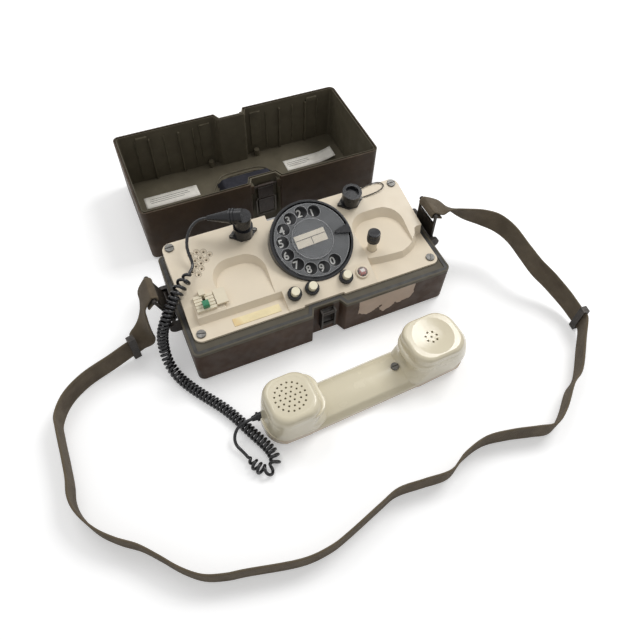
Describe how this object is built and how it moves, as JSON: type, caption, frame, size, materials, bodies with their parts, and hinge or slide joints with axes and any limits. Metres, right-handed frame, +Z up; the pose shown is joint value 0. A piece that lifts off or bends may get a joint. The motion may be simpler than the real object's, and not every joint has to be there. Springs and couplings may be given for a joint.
{
  "type": "field telephone",
  "caption": "Portable rotary-dial telephone in a carrying case: inclined faceplate, loose handset on a curly cord, lid set behind the case and a webbing carrying strap.",
  "frame": {"origin": "middle of the lower case's underside, on the surface it stands on", "axes": "+X along the case to the right, -Y towards the user and the handset, +Z up"},
  "size_m": [0.5108, 0.4804, 0.1042],
  "materials": {
    "case_brown": "matt",
    "lid_olive": "matt",
    "gasket_rubber": "matt",
    "cream_plastic": "satin",
    "handset_ivory": "satin",
    "cap_black": "satin",
    "black_rubber": "matt",
    "grey_wheel": "satin",
    "black_plate": "matt",
    "clear_disc": "polished",
    "paper_card": "matt",
    "steel": "satin",
    "bright_steel": "polished",
    "dark_steel": "worn",
    "brass": "satin",
    "white_button": "satin",
    "lens": "polished",
    "red_flag": "matt",
    "green_knob": "satin",
    "key_white": "satin",
    "board": "matt",
    "iron": "matt",
    "cell_sleeve": "satin",
    "webbing": "matt",
    "pad_foam": "matt",
    "label": "matt"
  },
  "bodies": {
    "base": {"base_shell": "case_brown", "base_gasket": "gasket_rubber", "base_catches": "dark_steel", "faceplate": "cream_plastic", "panel_screws": "steel", "dial_housing": "cap_black", "dial_number_plate": "black_plate", "dial_finger_stop": "cap_black", "dial_mechanism": "brass", "line_sockets": "black_rubber", "line_plug": "black_rubber", "button_collars": "cap_black", "indicator_bezel": "cream_plastic", "indicator_lens": "lens", "selector_block": "cream_plastic", "label_plate": "label", "circuit_board": "board", "transformer": "iron", "battery_cells": "cell_sleeve", "sounder": "iron", "hook_switch": "cap_black", "strap_lugs": "dark_steel", "strap_main": "webbing", "strap_sliders": "dark_steel", "cap_lanyard": "black_rubber", "cord_coil": "black_rubber", "cord_lead": "black_rubber", "cord_tail": "black_rubber"},
    "dial": {"finger_wheel": "grey_wheel", "dial_spindle": "brass", "dial_centre": "clear_disc", "dial_card": "paper_card"},
    "pulse_cam": {"pulse_cam": "brass"},
    "button_left": {"button_left": "white_button"},
    "button_middle": {"button_middle": "white_button"},
    "button_right": {"button_right": "white_button"},
    "indicator_flag": {"indicator_flag": "red_flag"},
    "hook_plunger": {"hook_plunger": "cap_black"},
    "selector_knob": {"selector_knob": "green_knob"},
    "flat_key": {"flat_key": "key_white"},
    "dust_cap": {"dust_cap": "black_rubber"},
    "handset": {"handset_back": "handset_ivory", "handset_inner": "handset_ivory", "mouth_cap": "handset_ivory", "ear_cap": "handset_ivory", "transmitter_capsule": "steel", "receiver_capsule": "steel", "handset_screws": "steel", "cord_gland": "black_rubber"},
    "lid": {"lid_shell": "lid_olive", "lid_pad": "pad_foam", "lid_labels": "label"},
    "lever_front": {"latch_lever_front": "dark_steel"},
    "lever_back": {"latch_lever_back": "dark_steel"},
    "bail_front": {"latch_bail_front": "bright_steel"},
    "bail_back": {"latch_bail_back": "bright_steel"},
    "left_bracket": {"left_bracket": "dark_steel", "strap_left_end": "webbing"},
    "right_bracket": {"right_bracket": "dark_steel", "strap_right_end": "webbing"}
  },
  "joints": [
    {"name": "dial_turn", "type": "hinge", "parent": "base", "child": "dial", "pos_m": [0.0098, 0.0055, 0.072], "axis": [0, 0.4067, -0.9135], "range_deg": [0, 332], "stiffness_Nm_per_rad": 0.006},
    {"name": "pulse_cam_spin", "type": "hinge", "parent": "base", "child": "pulse_cam", "pos_m": [-0.0136, 0.0055, 0.072], "axis": [0, 0.4067, -0.9135], "range_deg": [-2075, 0]},
    {"name": "button_left_press", "type": "slide", "parent": "base", "child": "button_left", "axis": [0, 0.3175, -0.9483], "range_m": [0, 0.002], "stiffness_N_per_m": 150, "springref_m": -0.002},
    {"name": "button_middle_press", "type": "slide", "parent": "base", "child": "button_middle", "axis": [0, 0.3175, -0.9483], "range_m": [0, 0.002], "stiffness_N_per_m": 150, "springref_m": -0.002},
    {"name": "button_right_press", "type": "slide", "parent": "base", "child": "button_right", "axis": [0, 0.3175, -0.9483], "range_m": [0, 0.002], "stiffness_N_per_m": 150, "springref_m": -0.002},
    {"name": "indicator_flag_turn", "type": "hinge", "parent": "base", "child": "indicator_flag", "pos_m": [0.0458, -0.03635, 0.0527], "axis": [1, 0, 0], "range_deg": [0, 90]},
    {"name": "hook_plunger_press", "type": "slide", "parent": "base", "child": "hook_plunger", "axis": [0, 0, -1], "range_m": [0, 0.004], "stiffness_N_per_m": 120, "springref_m": -0.004},
    {"name": "selector_slide", "type": "slide", "parent": "base", "child": "selector_knob", "axis": [0, 0.9862, 0.1654], "range_m": [0, 0.007]},
    {"name": "flat_key_press", "type": "slide", "parent": "base", "child": "flat_key", "axis": [0, 0.1654, -0.9862], "range_m": [0, 0.0012], "stiffness_N_per_m": 300, "springref_m": -0.0015},
    {"name": "dust_cap_lift", "type": "slide", "parent": "base", "child": "dust_cap", "axis": [0, -0.1654, 0.9862], "range_m": [0, 0.03]},
    {"name": "handset_lift", "type": "slide", "parent": "base", "child": "handset", "axis": [0, 0, 1], "range_m": [0, 0.12]},
    {"name": "lid_lift", "type": "slide", "parent": "base", "child": "lid", "axis": [0, 0, 1], "range_m": [0, 0.08]},
    {"name": "lever_front_swing", "type": "hinge", "parent": "lid", "child": "lever_front", "pos_m": [-0.0015, 0.1055, 0.06], "axis": [-1, 0, 0], "range_deg": [0, 100]},
    {"name": "lever_back_swing", "type": "hinge", "parent": "lid", "child": "lever_back", "pos_m": [-0.0015, 0.2215, 0.06], "axis": [1, 0, 0], "range_deg": [0, 100]},
    {"name": "bail_front_swing", "type": "hinge", "parent": "lever_front", "child": "bail_front", "pos_m": [-0.0015, 0.1049, 0.043], "axis": [-1, 0, 0], "range_deg": [0, 130]},
    {"name": "bail_back_swing", "type": "hinge", "parent": "lever_back", "child": "bail_back", "pos_m": [-0.0015, 0.2221, 0.043], "axis": [1, 0, 0], "range_deg": [0, 130]},
    {"name": "left_bracket_swing", "type": "hinge", "parent": "base", "child": "left_bracket", "pos_m": [-0.1392, 0.006, 0.039], "axis": [0, -1, 0], "range_deg": [-3, 18], "deforming": ["strap_left_end"]},
    {"name": "right_bracket_swing", "type": "hinge", "parent": "base", "child": "right_bracket", "pos_m": [0.1392, 0.0005, 0.039], "axis": [0, 1, 0], "range_deg": [-12, 14], "deforming": ["strap_right_end"]}
  ],
  "couplings": [
    {"joint": "pulse_cam_spin", "follows": "dial_turn", "ratio": -6.25}
  ]
}
